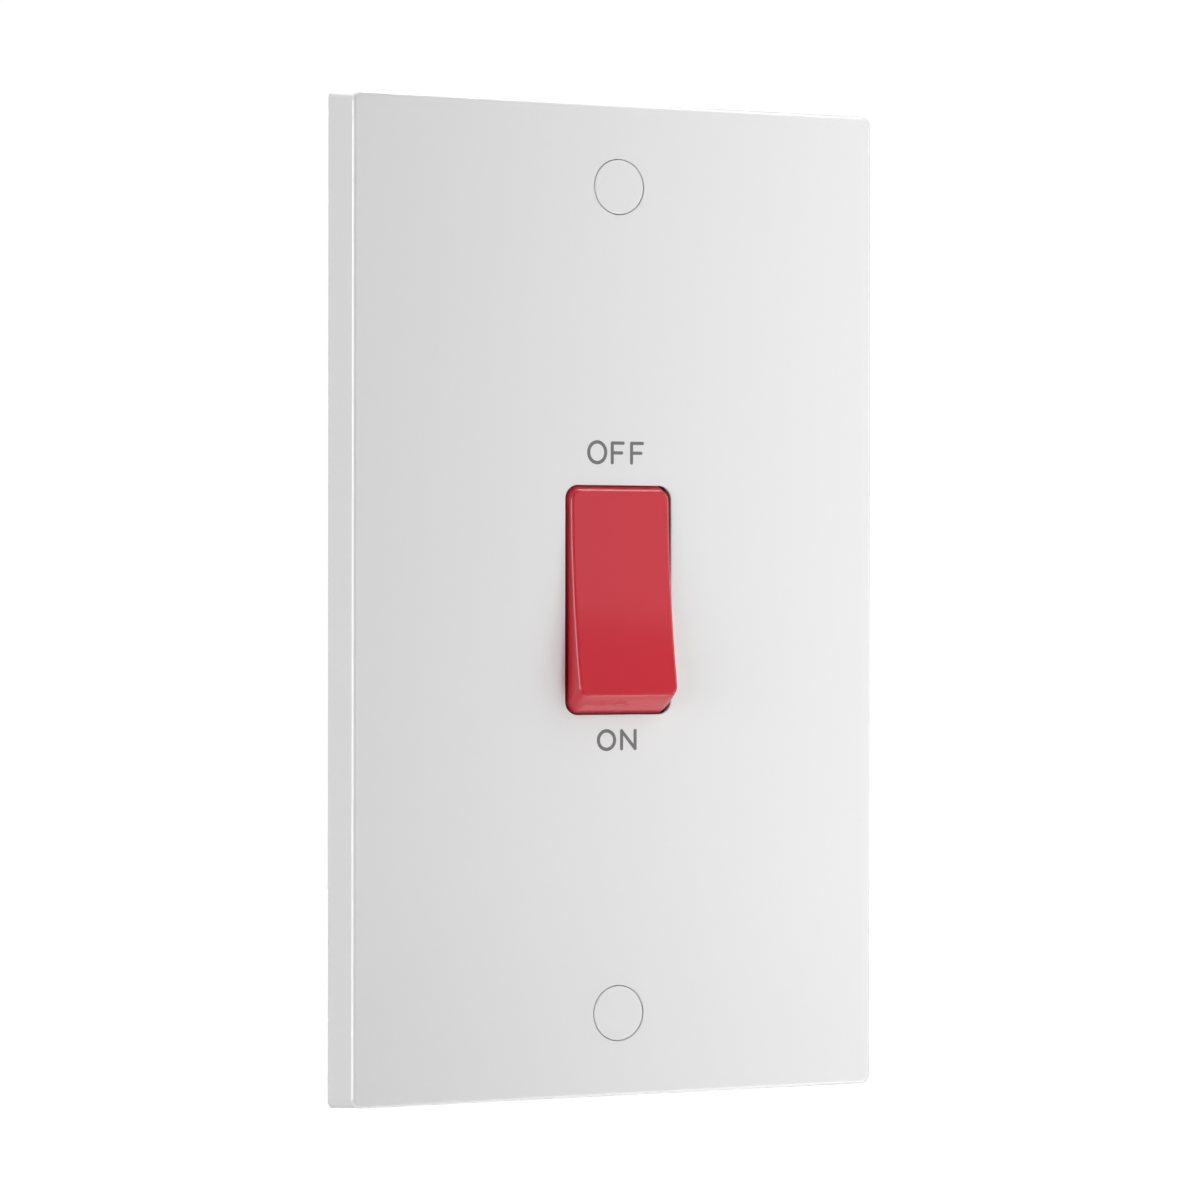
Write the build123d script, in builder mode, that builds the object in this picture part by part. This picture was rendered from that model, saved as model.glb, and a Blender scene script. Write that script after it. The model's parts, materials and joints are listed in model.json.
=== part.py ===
from build123d import *
from math import atan, cos, degrees, radians, sin, sqrt
import os

# A double pole switch for a cooker or shower circuit, on a tall twin wall plate.
# X runs to the right as seen from the room, Y runs into the wall and Z is up.
# The origin is on the wall's surface, half way between the two fixing screws.
# A depth is a Y value: below zero in front of the wall, above zero behind it.
# The rocker rests at OFF, with its top pressed in.

# Fits, each the free space between two neighbouring surfaces
running_fit = 0.06
guide_fit = 0.08
thread_fit = 0.05
screw_clearance = 0.15
screw_end_gap = 0.3
fixing_clearance = 0.25
fixing_head_clearance = 0.2
cap_groove = 0.12
closed_contact_gap = 0.06
plunger_gap = 0.15
rocker_end_gap = 0.3
well_side_gap = 0.36
well_end_gap = 0.45
plunger_slot_swing = 1.3
plunger_slot_side = 0.5
pocket_side_gap = 0.3
pocket_end_gap = 0.25
chamber_side_gap = 1.3
strip_slot_gap = 0.1

# Front plate
plate_width = 86.0
plate_height = 146.0
plate_depth = 7.5
plate_lean = 0.62
plate_skin = 2.2
plate_side_wall = 2.4
plate_rear_corner = 1.05
plate_front_corner = 1.45
plate_edge_radius = 0.6
aperture_width = 17.26
aperture_height = 33.46
aperture_corner = 2.0
aperture_edge_radius = 0.3
aperture_land = 0.35
rib_x = 31.0
rib_z = 44.0
rib_thickness = 1.5
rib_setback = 2.0

# Fixing screws and the caps over them
fixing_pitch = 120.6
fixing_diameter = 3.5
fixing_length = 25.0
fixing_head_diameter = 7.0
fixing_head_height = 2.1
fixing_head_round = 0.5
fixing_neck_diameter = 3.1
fixing_tip_chamfer = 0.6
fixing_floor = 3.0
fixing_boss_diameter = 12.4
fixing_boss_setback = 0.3
cap_diameter = 7.95
cap_thickness = 1.5
cap_skirt_wall = 0.8
cap_skirt_length = 0.7
cap_edge_radius = 0.15
cap_recess_radius = 0.15

# Rocker, measured outwards from its pivot
rocker_angle = 6.0
pivot_behind_front = 8.0
rocker_end_radius = 18.15
rocker_edge_proud = 2.2
rocker_middle_proud = 1.45
rocker_base_width = 16.54
rocker_side_lean = 0.0234
rocker_corner_radius = 1.6
rocker_edge_radius = 0.5
rocker_wall = 1.7
rocker_skirt_start = 1.0
rocker_rib = 1.2
trunnion_diameter = 3.0
trunnion_reach = 10.4
trunnion_ear_radius = 2.6

# Plungers and their springs, one for each pole
pole_x = 4.4
plunger_diameter = 3.8
plunger_length = 12.55
plunger_tail = 0.5
plunger_nose_flat = 0.2
plunger_spigot_diameter = 2.2
plunger_spigot_length = 1.4
guide_diameter = 5.8
guide_reach = 3.5
spring_diameter = 3.6
spring_wire = 0.5
spring_seat = 6.4

# Cover that carries the rocker, and the housing behind it
module_width = 48.0
module_height = 62.0
module_corner = 1.5
cover_thickness = 2.0
well_front_gap = 0.2
well_wall = 3.0
well_corner = 1.0
well_outer_corner = 2.0
well_floor = 5.2
well_floor_thickness = 1.6
housing_back = 24.0
housing_chamfer = 0.4
ear_back = 8.0
ear_height = 30.6
ear_inner_x = 11.0
tower_gap_width = 14.0
tower_gap_length = 8.7
housing_screw_x = 18.5
housing_screw_z = 9.0
housing_screw_diameter = 3.0
housing_screw_head = 5.8
housing_screw_head_height = 2.2
housing_screw_bite = 4.5
post_diameter = 7.6
pad_margin = 1.7
pad_wall = 1.7
chamber_shift = 0.2

# Current path: terminals, see-saw contacts and their tips
fulcrum_below_face = 2.3
seesaw_thickness = 1.6
seesaw_width = 4.6
seesaw_upper = 17.0
seesaw_lower = 9.0
seesaw_hub_height = 6.0
ridge_radius = 1.0
ridge_fit = 0.1
stem_width = 1.6
tip_diameter = 4.4
tip_edge = 0.6
tip_dome = 0.4
tip_height_on_arm = 14.5
strip_thickness = 1.6
strip_cross_start = 17.6
strip_cross_end = 20.0
strip_root = 1.0
terminal_x = 16.0
block_width = 11.0
block_start = 17.5
block_length = 11.5
block_depth = 12.0
block_back = 21.2
tunnel_diameter = 6.6
tunnel_depth = 13.4
clamp_diameter = 4.0
clamp_head_diameter = 5.0
clamp_head_height = 2.0
clamp_pitch = 5.4
clamp_backed_off = 0.6
clamp_window = 6.0
entry_diameter = 8.0
slot_width = 0.9
slot_depth = 1.0

# Earth terminal below the switch, to one side of the lower fixing screw
earth_x = 22.0
earth_z = -44.0
earth_width = 9.0
earth_length = 16.0
earth_front = -1.0
earth_depth = 9.5
earth_tunnel = 4.6
earth_tunnel_depth = 2.4
earth_foot = 3.0
earth_foot_length = 5.4
earth_clamp_start = 3.2
earth_clamp_pitch = 5.1
earth_screw_head = 4.6
earth_screw_bite = 3.5

# Places worked out from the sizes above
front = -plate_depth
skin_back = front + plate_skin
fixing_z = fixing_pitch / 2
pivot = front + pivot_behind_front
tilt = radians(rocker_angle)
cap_recess = cap_diameter + 2 * cap_groove
head_bore = fixing_head_diameter + 2 * fixing_head_clearance
well_front = skin_back + well_front_gap
well_back = well_floor + well_floor_thickness
well_width = rocker_base_width + 2 * well_side_gap
well_height = 2 * (rocker_end_radius + well_end_gap)
plunger_tip = plunger_length - plunger_tail
fulcrum = pivot + plunger_tip + plunger_gap + fulcrum_below_face
arm_back = fulcrum_below_face - seesaw_thickness
tip_height = tip_edge + tip_dome
tip_radius = tip_diameter / 2
dome_radius = (tip_radius**2 + tip_dome**2) / (2 * tip_dome)
dome_centre = arm_back - tip_height + dome_radius
closed_tip = fulcrum - dome_centre * cos(tilt) + tip_height_on_arm * sin(tilt) + dome_radius
closed_tip_z = dome_centre * sin(tilt) + tip_height_on_arm * cos(tilt)
strip_front = closed_tip + closed_contact_gap + tip_height
strip_back = strip_front + strip_thickness
block_z = block_start + block_length / 2
strip_width = strip_cross_end - strip_cross_start
cross_z = (strip_cross_start + strip_cross_end) / 2
chamber_x = pole_x + chamber_shift
chamber_width = seesaw_width + 2 * chamber_side_gap
barrier_width = 2 * chamber_x - chamber_width
tower_gap_z = (module_height - tower_gap_length) / 2
sides = (("left", -1), ("right", 1))
fixing_points = ((0, fixing_z), (0, -fixing_z))
housing_screw_points = [
    (x * housing_screw_x, z * housing_screw_z) for x in (-1, 1) for z in (-1, 1)
]
earth_back = earth_front + earth_depth
earth_low = earth_z - earth_length / 2
earth_clamp_z = earth_low + earth_clamp_start
earth_clamps = [(earth_x, earth_clamp_z), (earth_x, earth_clamp_z + earth_clamp_pitch)]
earth_fixing = (earth_x, earth_z + (earth_length - earth_foot_length) / 2)

# The rocker leans with its top into the wall, the see-saws with their top out of it
rocker_out = (0, -cos(tilt), sin(tilt))
rocker_up = (0, sin(tilt), cos(tilt))
seesaw_up = (0, -sin(tilt), cos(tilt))
rocker_plane = Plane(origin=(0, pivot, 0), x_dir=(1, 0, 0), z_dir=rocker_out)
rocker_side = Plane(origin=(0, pivot, 0), x_dir=rocker_up, z_dir=(1, 0, 0))


def facing(depth):
    """The plane parallel to the wall at this depth, which faces the room."""
    return Plane.XZ.offset(-depth)


def on_end(radius, forward):
    """The point of a rocker's end arc that lies this far in front of the pivot."""
    return (sqrt(radius**2 - forward**2), forward)


def save(piece, name):
    """Label a finished piece and write it."""
    piece.part.label = name
    export_step(piece.part, f"parts/{name}.step")


os.makedirs("parts", exist_ok=True)

# Front plate: a shallow moulded pan with its open side to the wall
with BuildPart() as front_plate:
    with BuildSketch(facing(0)):
        RectangleRounded(plate_width, plate_height, plate_rear_corner)
    with BuildSketch(facing(front)):
        RectangleRounded(plate_width - 2 * plate_lean, plate_height - 2 * plate_lean, plate_front_corner)
    loft(ruled=True)
    fillet(front_plate.faces().sort_by(Axis.Y)[0].edges(), plate_edge_radius)
    inner_width = plate_width - 2 * plate_side_wall
    inner_height = plate_height - 2 * plate_side_wall
    with BuildSketch(facing(0)):
        RectangleRounded(inner_width, inner_height, plate_rear_corner)
    extrude(amount=plate_depth - plate_skin, mode=Mode.SUBTRACT)
    # Stiffening ribs stop short of the wall
    with BuildSketch(facing(-rib_setback)):
        with Locations((-rib_x, 0), (rib_x, 0)):
            Rectangle(rib_thickness, inner_height + rib_thickness)
        with Locations((0, -rib_z), (0, rib_z)):
            Rectangle(inner_width + rib_thickness, rib_thickness)
    extrude(amount=-rib_setback - skin_back)
    # Bosses round the fixing screws, posts for the switch, and the earth terminal's pad
    with BuildSketch(facing(-fixing_boss_setback)):
        with Locations(*fixing_points):
            Circle(fixing_boss_diameter / 2)
    extrude(amount=-fixing_boss_setback - skin_back)
    with BuildSketch(facing(0)):
        with Locations(*housing_screw_points):
            Circle(post_diameter / 2)
    extrude(amount=-skin_back)
    with BuildSketch(facing(earth_front)):
        with Locations((earth_x, earth_z)):
            Rectangle(earth_width + 2 * rib_thickness, earth_length + 2 * rib_thickness)
    extrude(amount=earth_front - skin_back)
    # The rocker's aperture widens behind its front land, so that the rocker's ends can swing
    with BuildSketch(facing(front)):
        RectangleRounded(aperture_width, aperture_height, aperture_corner)
    extrude(amount=-plate_skin, mode=Mode.SUBTRACT)
    fillet(front_plate.faces().sort_by(Axis.Y)[0].inner_wires()[0].edges(), aperture_edge_radius)
    flare_height = 2 * on_end(rocker_end_radius + rocker_end_gap, skin_back - pivot)[0]
    with BuildSketch(facing(front + aperture_land)):
        RectangleRounded(aperture_width, aperture_height, aperture_corner)
    with BuildSketch(facing(skin_back)):
        RectangleRounded(well_width + running_fit, flare_height, aperture_corner)
    loft(ruled=True, mode=Mode.SUBTRACT)
    # Recess for each cap, then the bore for the screw's head, then its clearance hole
    with BuildSketch(facing(front)):
        with Locations(*fixing_points):
            Circle(cap_recess / 2)
    extrude(amount=-cap_thickness, mode=Mode.SUBTRACT)
    recess_rims = front_plate.edges().filter_by(GeomType.CIRCLE).group_by(Axis.Y)[0]
    fillet(recess_rims.filter_by(lambda e: abs(e.radius - cap_recess / 2) < cap_groove), cap_recess_radius)
    with BuildSketch(facing(front)):
        with Locations(*fixing_points):
            Circle(head_bore / 2)
    extrude(amount=fixing_floor - plate_depth, mode=Mode.SUBTRACT)
    with BuildSketch(facing(front)):
        with Locations(*fixing_points):
            Circle(fixing_diameter / 2 + fixing_clearance)
    extrude(amount=-plate_depth, mode=Mode.SUBTRACT)
    # Blind holes for the screws that hold the switch and the earth terminal
    with BuildSketch(facing(0)):
        with Locations(*housing_screw_points):
            Circle(housing_screw_diameter / 2 + thread_fit)
    extrude(amount=housing_screw_bite, mode=Mode.SUBTRACT)
    with BuildSketch(facing(earth_front)):
        with Locations(earth_fixing):
            Circle(housing_screw_diameter / 2 + thread_fit)
    extrude(amount=earth_screw_bite, mode=Mode.SUBTRACT)
save(front_plate, "front_plate")

# Flush caps over the fixing screws, and the screws themselves
for place, z in (("top", fixing_z), ("bottom", -fixing_z)):
    with BuildPart() as screw_cap:
        with BuildSketch(facing(front)):
            with Locations((0, z)):
                Circle(cap_diameter / 2)
        extrude(amount=-cap_thickness)
        fillet(screw_cap.faces().sort_by(Axis.Y)[0].edges(), cap_edge_radius)
        with BuildSketch(facing(front + cap_thickness)):
            with Locations((0, z)):
                Circle(head_bore / 2 - thread_fit)
                Circle(head_bore / 2 - cap_skirt_wall, mode=Mode.SUBTRACT)
        extrude(amount=-cap_skirt_length)
    save(screw_cap, f"screw_cap_{place}")

    with BuildPart() as fixing_screw:
        with BuildSketch(facing(-fixing_floor)):
            with Locations((0, z)):
                Circle(fixing_head_diameter / 2)
        extrude(amount=fixing_head_height)
        fillet(fixing_screw.faces().sort_by(Axis.Y)[0].edges(), fixing_head_round)
        # A plain neck in the plate, then the thread from the wall's surface to the tip
        with BuildSketch(facing(-fixing_floor)):
            with Locations((0, z)):
                Circle(fixing_neck_diameter / 2)
        extrude(amount=-fixing_floor)
        with BuildSketch(facing(0)):
            with Locations((0, z)):
                Circle(fixing_diameter / 2)
        extrude(amount=fixing_floor - fixing_length)
        chamfer(fixing_screw.faces().sort_by(Axis.Y)[-1].edges(), fixing_tip_chamfer)
        with BuildSketch(facing(-fixing_floor - fixing_head_height)):
            with Locations((0, z)):
                Rectangle(fixing_head_diameter, slot_width)
        extrude(amount=-slot_depth, mode=Mode.SUBTRACT)
    save(fixing_screw, f"fixing_screw_{place}")

# Rocker: a hollow red moulding whose ends are arcs about its pivot
edge_forward = pivot_behind_front + rocker_edge_proud
middle_forward = pivot_behind_front + rocker_middle_proud
inner_forward = middle_forward - rocker_wall
inner_half_width = rocker_base_width / 2 - rocker_wall
with BuildPart() as rocker:
    skirt_corner = on_end(rocker_end_radius, rocker_skirt_start)
    face_corner = on_end(rocker_end_radius, edge_forward)
    end_middle = on_end(rocker_end_radius, (rocker_skirt_start + edge_forward) / 2)
    with BuildSketch(rocker_side):
        with BuildLine():
            Line((-skirt_corner[0], skirt_corner[1]), skirt_corner)
            ThreePointArc(skirt_corner, end_middle, face_corner)
            ThreePointArc(face_corner, (0, middle_forward), (-face_corner[0], face_corner[1]))
            ThreePointArc(
                (-face_corner[0], face_corner[1]),
                (-end_middle[0], end_middle[1]),
                (-skirt_corner[0], skirt_corner[1]),
            )
        make_face()
    extrude(amount=rocker_base_width, both=True)
    with BuildSketch(rocker_plane):
        Rectangle(rocker_base_width, 3 * rocker_end_radius)
    extrude(amount=2 * pivot_behind_front, taper=degrees(atan(rocker_side_lean)), mode=Mode.INTERSECT)
    upright = rocker.edges().filter_by(lambda e: abs(e.center().X) > rocker_base_width / 3)
    fillet(upright.filter_by(lambda e: e.length < rocker_end_radius), rocker_corner_radius)
    face = rocker.faces().sort_by(Axis((0, 0, 0), rocker_out))[-1]
    fillet(face.edges(), rocker_edge_radius)
    # Hollow behind the face
    inner_radius = rocker_end_radius - rocker_wall
    inner_corner = on_end(inner_radius, inner_forward)
    inner_start = on_end(inner_radius, 0)
    inner_middle = on_end(inner_radius, inner_forward / 2)
    with BuildSketch(rocker_side):
        with BuildLine():
            Line((-inner_start[0], inner_start[1]), inner_start)
            ThreePointArc(inner_start, inner_middle, inner_corner)
            Line(inner_corner, (-inner_corner[0], inner_corner[1]))
            ThreePointArc(
                (-inner_corner[0], inner_corner[1]),
                (-inner_middle[0], inner_middle[1]),
                (-inner_start[0], inner_start[1]),
            )
        make_face()
    extrude(amount=inner_half_width, both=True, mode=Mode.SUBTRACT)
    # Two guide tubes for the plungers, tied to the ends by ribs
    with BuildSketch(rocker_plane.offset(-guide_reach)):
        with Locations((-pole_x, 0), (pole_x, 0)):
            Circle(guide_diameter / 2)
    extrude(amount=guide_reach + inner_forward)
    with BuildSketch(rocker_plane.offset(rocker_skirt_start)):
        with Locations((-pole_x, 0), (pole_x, 0)):
            Rectangle(rocker_rib, 2 * inner_corner[0])
    extrude(amount=inner_forward - rocker_skirt_start)
    # Ears and trunnions that hang the rocker in its bearings
    for side, sx in sides:
        with BuildSketch(rocker_side.offset(sx * inner_half_width)):
            Circle(trunnion_ear_radius)
        extrude(amount=sx * rocker_wall)
        with BuildSketch(rocker_side.offset(sx * inner_half_width)):
            Circle(trunnion_diameter / 2)
        extrude(amount=sx * (trunnion_reach - inner_half_width))
    with BuildSketch(rocker_plane.offset(-guide_reach)):
        with Locations((-pole_x, 0), (pole_x, 0)):
            Circle(plunger_diameter / 2 + guide_fit)
    extrude(amount=guide_reach + spring_seat, mode=Mode.SUBTRACT)
save(rocker, "rocker")

for side, sx in sides:
    # Plunger: slides in its guide tube, with a rounded nose that works the see-saw
    with BuildPart() as plunger:
        with BuildSketch(rocker_plane.offset(-plunger_tip)):
            with Locations((sx * pole_x, 0)):
                Circle(plunger_diameter / 2)
        extrude(amount=plunger_length)
        fillet(plunger.faces().sort_by(Axis.Y)[-1].edges(), (plunger_diameter - plunger_nose_flat) / 2)
        with BuildSketch(rocker_plane.offset(plunger_tail)):
            with Locations((sx * pole_x, 0)):
                Circle(plunger_spigot_diameter / 2)
        extrude(amount=plunger_spigot_length)
    save(plunger, f"plunger_{side}")

    # Compression spring between the plunger and the guide tube's floor, as a plain sleeve
    with BuildPart() as plunger_spring:
        with BuildSketch(rocker_plane.offset(plunger_tail)):
            with Locations((sx * pole_x, 0)):
                Circle(spring_diameter / 2)
                Circle(spring_diameter / 2 - spring_wire, mode=Mode.SUBTRACT)
        extrude(amount=spring_seat - plunger_tail)
    save(plunger_spring, f"plunger_spring_{side}")

# Cover: closes the housing from the front and holds the rocker in a deep well
with BuildPart() as mechanism_cover:
    with BuildSketch(facing(cover_thickness)):
        RectangleRounded(module_width, module_height, module_corner)
    extrude(amount=cover_thickness)
    with BuildSketch(facing(well_back)):
        RectangleRounded(well_width + 2 * well_wall, well_height + 2 * well_wall, well_outer_corner)
    extrude(amount=well_back - well_front)
    with BuildSketch(facing(well_floor)):
        RectangleRounded(well_width, well_height, well_corner)
    extrude(amount=well_floor - well_front, mode=Mode.SUBTRACT)
    # Slots that let the plungers swing
    with BuildSketch(facing(well_back)):
        with Locations((-pole_x, 0), (pole_x, 0)):
            slot_height = plunger_diameter + 2 * plunger_slot_swing
            SlotOverall(slot_height, plunger_diameter + 2 * plunger_slot_side, rotation=90)
    extrude(amount=well_floor_thickness, mode=Mode.SUBTRACT)
    # Blind bearings for the rocker's trunnions
    with BuildSketch(Plane.YZ):
        with Locations((pivot, 0)):
            Circle(trunnion_diameter / 2 + running_fit)
    extrude(amount=trunnion_reach + running_fit + well_side_gap, both=True, mode=Mode.SUBTRACT)
    # Hollow pads that hold the terminals down in their pockets
    pad_width = block_width - 2 * pad_margin
    pad_length = block_length - 2 * pad_margin
    with BuildSketch(facing(block_back - block_depth)):
        for x in (-terminal_x, terminal_x):
            with Locations((x, -block_z), (x, block_z)):
                Rectangle(pad_width, pad_length)
                Rectangle(pad_width - 2 * pad_wall, pad_length - 2 * pad_wall, mode=Mode.SUBTRACT)
    extrude(amount=block_back - block_depth - cover_thickness)
    with BuildSketch(facing(cover_thickness)):
        with Locations(*housing_screw_points):
            Circle(housing_screw_diameter / 2 + screw_clearance)
    extrude(amount=cover_thickness, mode=Mode.SUBTRACT)
save(mechanism_cover, "mechanism_cover")

# Housing: two terminal towers at each end, two contact chambers between them
pocket_width = block_width + 2 * pocket_side_gap
pocket_length = block_length + 2 * pocket_end_gap
with BuildPart() as mechanism_housing:
    with BuildSketch(facing(housing_back)):
        RectangleRounded(module_width, module_height, module_corner)
    extrude(amount=housing_back - cover_thickness)
    # The middle is narrow behind the screw ears, and the towers stand apart
    ear_width = module_width / 2 - ear_inner_x
    with BuildSketch(facing(housing_back)):
        with Locations((-ear_inner_x - ear_width / 2, 0), (ear_inner_x + ear_width / 2, 0)):
            Rectangle(ear_width, ear_height)
    extrude(amount=housing_back - ear_back, mode=Mode.SUBTRACT)
    with BuildSketch(facing(housing_back)):
        with Locations((0, -tower_gap_z), (0, tower_gap_z)):
            Rectangle(tower_gap_width, tower_gap_length)
    extrude(amount=housing_back - ear_back, mode=Mode.SUBTRACT)
    # Pocket for the rocker's well
    with BuildSketch(facing(well_back + running_fit)):
        RectangleRounded(
            well_width + 2 * well_wall + well_side_gap,
            well_height + 2 * well_wall + well_side_gap,
            well_outer_corner,
        )
    extrude(amount=well_back + running_fit - cover_thickness, mode=Mode.SUBTRACT)
    # One chamber for each pole, with a barrier between the poles
    with BuildSketch(facing(strip_back)):
        with Locations((-chamber_x, 0), (chamber_x, 0)):
            Rectangle(chamber_width, 2 * strip_cross_end)
    extrude(amount=strip_back - cover_thickness, mode=Mode.SUBTRACT)
    # Pocket for each terminal, its slot to the chamber, its cable entry and its screw window
    for x in (-terminal_x, terminal_x):
        for z in (-block_z, block_z):
            with BuildSketch(facing(block_back)):
                with Locations((x, z)):
                    Rectangle(pocket_width, pocket_length)
            extrude(amount=block_back - cover_thickness, mode=Mode.SUBTRACT)
            with BuildSketch(facing(housing_back)):
                with Locations((x, z)):
                    SlotOverall(clamp_pitch + clamp_window, clamp_window, rotation=90)
            extrude(amount=housing_back - block_back, mode=Mode.SUBTRACT)
    with BuildSketch(facing(strip_back)):
        with Locations((0, -cross_z), (0, cross_z)):
            Rectangle(2 * terminal_x, strip_width + 2 * strip_slot_gap)
            Rectangle(barrier_width, strip_width + 2 * strip_slot_gap, mode=Mode.SUBTRACT)
    extrude(amount=strip_back - cover_thickness, mode=Mode.SUBTRACT)
    with BuildSketch(Plane.XY.offset(-module_height / 2)):
        with Locations((-terminal_x, tunnel_depth), (terminal_x, tunnel_depth)):
            Circle(entry_diameter / 2)
    extrude(amount=module_height / 2 - block_z, mode=Mode.SUBTRACT)
    with BuildSketch(Plane.XY.offset(module_height / 2)):
        with Locations((-terminal_x, tunnel_depth), (terminal_x, tunnel_depth)):
            Circle(entry_diameter / 2)
    extrude(amount=block_z - module_height / 2, mode=Mode.SUBTRACT)
    with BuildSketch(facing(ear_back)):
        with Locations(*housing_screw_points):
            Circle(housing_screw_diameter / 2 + screw_clearance)
    extrude(amount=ear_back - cover_thickness, mode=Mode.SUBTRACT)
    chamfer(mechanism_housing.faces().sort_by(Axis.Y)[-1].edges(), housing_chamfer)
save(mechanism_housing, "mechanism_housing")

# Screws from behind through the housing's ears and the cover into the plate's posts
with BuildPart() as housing_screws:
    with BuildSketch(facing(ear_back + housing_screw_head_height)):
        with Locations(*housing_screw_points):
            Circle(housing_screw_head / 2)
    extrude(amount=housing_screw_head_height)
    with BuildSketch(facing(ear_back)):
        with Locations(*housing_screw_points):
            Circle(housing_screw_diameter / 2)
    extrude(amount=ear_back + housing_screw_bite - screw_end_gap)
    with BuildSketch(facing(ear_back + housing_screw_head_height)):
        with Locations(*housing_screw_points):
            Rectangle(housing_screw_head, slot_width)
            Rectangle(slot_width, housing_screw_head)
    extrude(amount=slot_depth, mode=Mode.SUBTRACT)
save(housing_screws, "housing_screws")

clamp_points_z = (block_z - clamp_pitch / 2, block_z + clamp_pitch / 2)
clamp_head_front = block_back + clamp_backed_off
for side, sx in sides:
    for role, ez in (("supply", -1), ("load", 1)):
        # Terminal: a brass block with a cable tunnel and a strip that reaches into the chamber
        with BuildPart() as terminal:
            with BuildSketch(facing(block_back)):
                with Locations((sx * terminal_x, ez * block_z)):
                    Rectangle(block_width, block_length)
            extrude(amount=block_depth)
            with BuildSketch(Plane.XY.offset(ez * block_start)):
                with Locations((sx * terminal_x, tunnel_depth)):
                    Circle(tunnel_diameter / 2)
            extrude(amount=ez * block_length, mode=Mode.SUBTRACT)
            with BuildSketch(facing(block_back)):
                with Locations(*[(sx * terminal_x, ez * z) for z in clamp_points_z]):
                    Circle(clamp_diameter / 2 + thread_fit)
            extrude(amount=block_back - tunnel_depth, mode=Mode.SUBTRACT)
            cross_inner = pole_x - seesaw_width / 2
            cross_outer = terminal_x - block_width / 2 + strip_root
            with BuildSketch(facing(strip_back)):
                with Locations((sx * (cross_inner + cross_outer) / 2, ez * cross_z)):
                    Rectangle(cross_outer - cross_inner, strip_width)
                tail_start = -ridge_radius if role == "supply" else closed_tip_z - tip_radius
                with Locations((sx * pole_x, ez * (tail_start + strip_cross_end) / 2)):
                    Rectangle(seesaw_width, strip_cross_end - tail_start)
            extrude(amount=strip_thickness)
            if role == "supply":
                # A rounded ridge on a stem, on which the see-saw rocks
                with BuildSketch(Plane.YZ.offset(sx * pole_x)):
                    with Locations(((fulcrum + strip_front) / 2, 0)):
                        Rectangle(strip_front - fulcrum, stem_width)
                    with Locations((fulcrum, 0)):
                        Circle(ridge_radius)
                extrude(amount=seesaw_width / 2, both=True)
        save(terminal, f"{role}_terminal_{side}")

        # Pair of slotted clamp screws, backed off so that the cable can go in
        with BuildPart() as clamp_screws:
            clamp_points = [(sx * terminal_x, ez * z) for z in clamp_points_z]
            with BuildSketch(facing(clamp_head_front + clamp_head_height)):
                with Locations(*clamp_points):
                    Circle(clamp_head_diameter / 2)
            extrude(amount=clamp_head_height)
            with BuildSketch(facing(clamp_head_front)):
                with Locations(*clamp_points):
                    Circle(clamp_diameter / 2)
            extrude(amount=clamp_head_front - tunnel_depth - tunnel_diameter / 2 - thread_fit)
            with BuildSketch(facing(clamp_head_front + clamp_head_height)):
                with Locations(*clamp_points):
                    Rectangle(clamp_head_diameter, slot_width)
            extrude(amount=slot_depth, mode=Mode.SUBTRACT)
        save(clamp_screws, f"{role}_screws_{side}")

    # See-saw contact: a thick copper arm that rocks on the ridge
    with BuildPart() as moving_contact:
        seesaw_side = Plane(origin=(sx * pole_x, fulcrum, 0), x_dir=seesaw_up, z_dir=(1, 0, 0))
        with BuildSketch(seesaw_side):
            with Locations(((seesaw_upper - seesaw_lower) / 2, arm_back + seesaw_thickness / 2)):
                Rectangle(seesaw_upper + seesaw_lower, seesaw_thickness)
            with Locations((0, arm_back)):
                Rectangle(seesaw_hub_height, 2 * arm_back)
            Circle(ridge_radius + ridge_fit, mode=Mode.SUBTRACT)
        extrude(amount=seesaw_width / 2, both=True)
    save(moving_contact, f"moving_contact_{side}")

    # Domed silver tip riveted to the see-saw's upper arm
    with BuildPart() as moving_tip:
        apex = (tip_height_on_arm, arm_back - tip_height)
        rim = (tip_height_on_arm + tip_radius, arm_back - tip_edge)
        with BuildSketch(seesaw_side):
            with BuildLine():
                Polyline(apex, (tip_height_on_arm, arm_back), (rim[0], arm_back), rim)
                RadiusArc(rim, apex, dome_radius)
            make_face()
        tip_axis = Axis(seesaw_side.from_local_coords((tip_height_on_arm, 0, 0)), seesaw_side.y_dir)
        revolve(axis=tip_axis)
    save(moving_tip, f"moving_tip_{side}")

    # Flat silver tip on the load terminal's strip
    with BuildPart() as fixed_tip:
        with BuildSketch(facing(strip_front)):
            with Locations((sx * pole_x, closed_tip_z)):
                Circle(tip_radius)
        extrude(amount=tip_height)
    save(fixed_tip, f"fixed_tip_{side}")

# Earth terminal: a brass block on its pad, for the cables' earth cores
with BuildPart() as earth_terminal:
    with BuildSketch(facing(earth_back)):
        with Locations((earth_x, earth_z)):
            Rectangle(earth_width, earth_length)
    extrude(amount=earth_depth)
    # The end that takes the fixing screw is a thin foot
    with BuildSketch(facing(earth_back)):
        with Locations(earth_fixing):
            Rectangle(earth_width, earth_foot_length)
    extrude(amount=earth_depth - earth_foot, mode=Mode.SUBTRACT)
    with BuildSketch(Plane.XY.offset(earth_low)):
        with Locations((earth_x, earth_tunnel_depth)):
            Circle(earth_tunnel / 2)
    extrude(amount=earth_length - earth_foot_length, mode=Mode.SUBTRACT)
    with BuildSketch(facing(earth_back)):
        with Locations(*earth_clamps):
            Circle(housing_screw_diameter / 2 + thread_fit)
    extrude(amount=earth_back - earth_tunnel_depth, mode=Mode.SUBTRACT)
    with BuildSketch(facing(earth_back)):
        with Locations(earth_fixing):
            Circle(housing_screw_diameter / 2 + screw_clearance)
    extrude(amount=earth_depth, mode=Mode.SUBTRACT)
save(earth_terminal, "earth_terminal")

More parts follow.
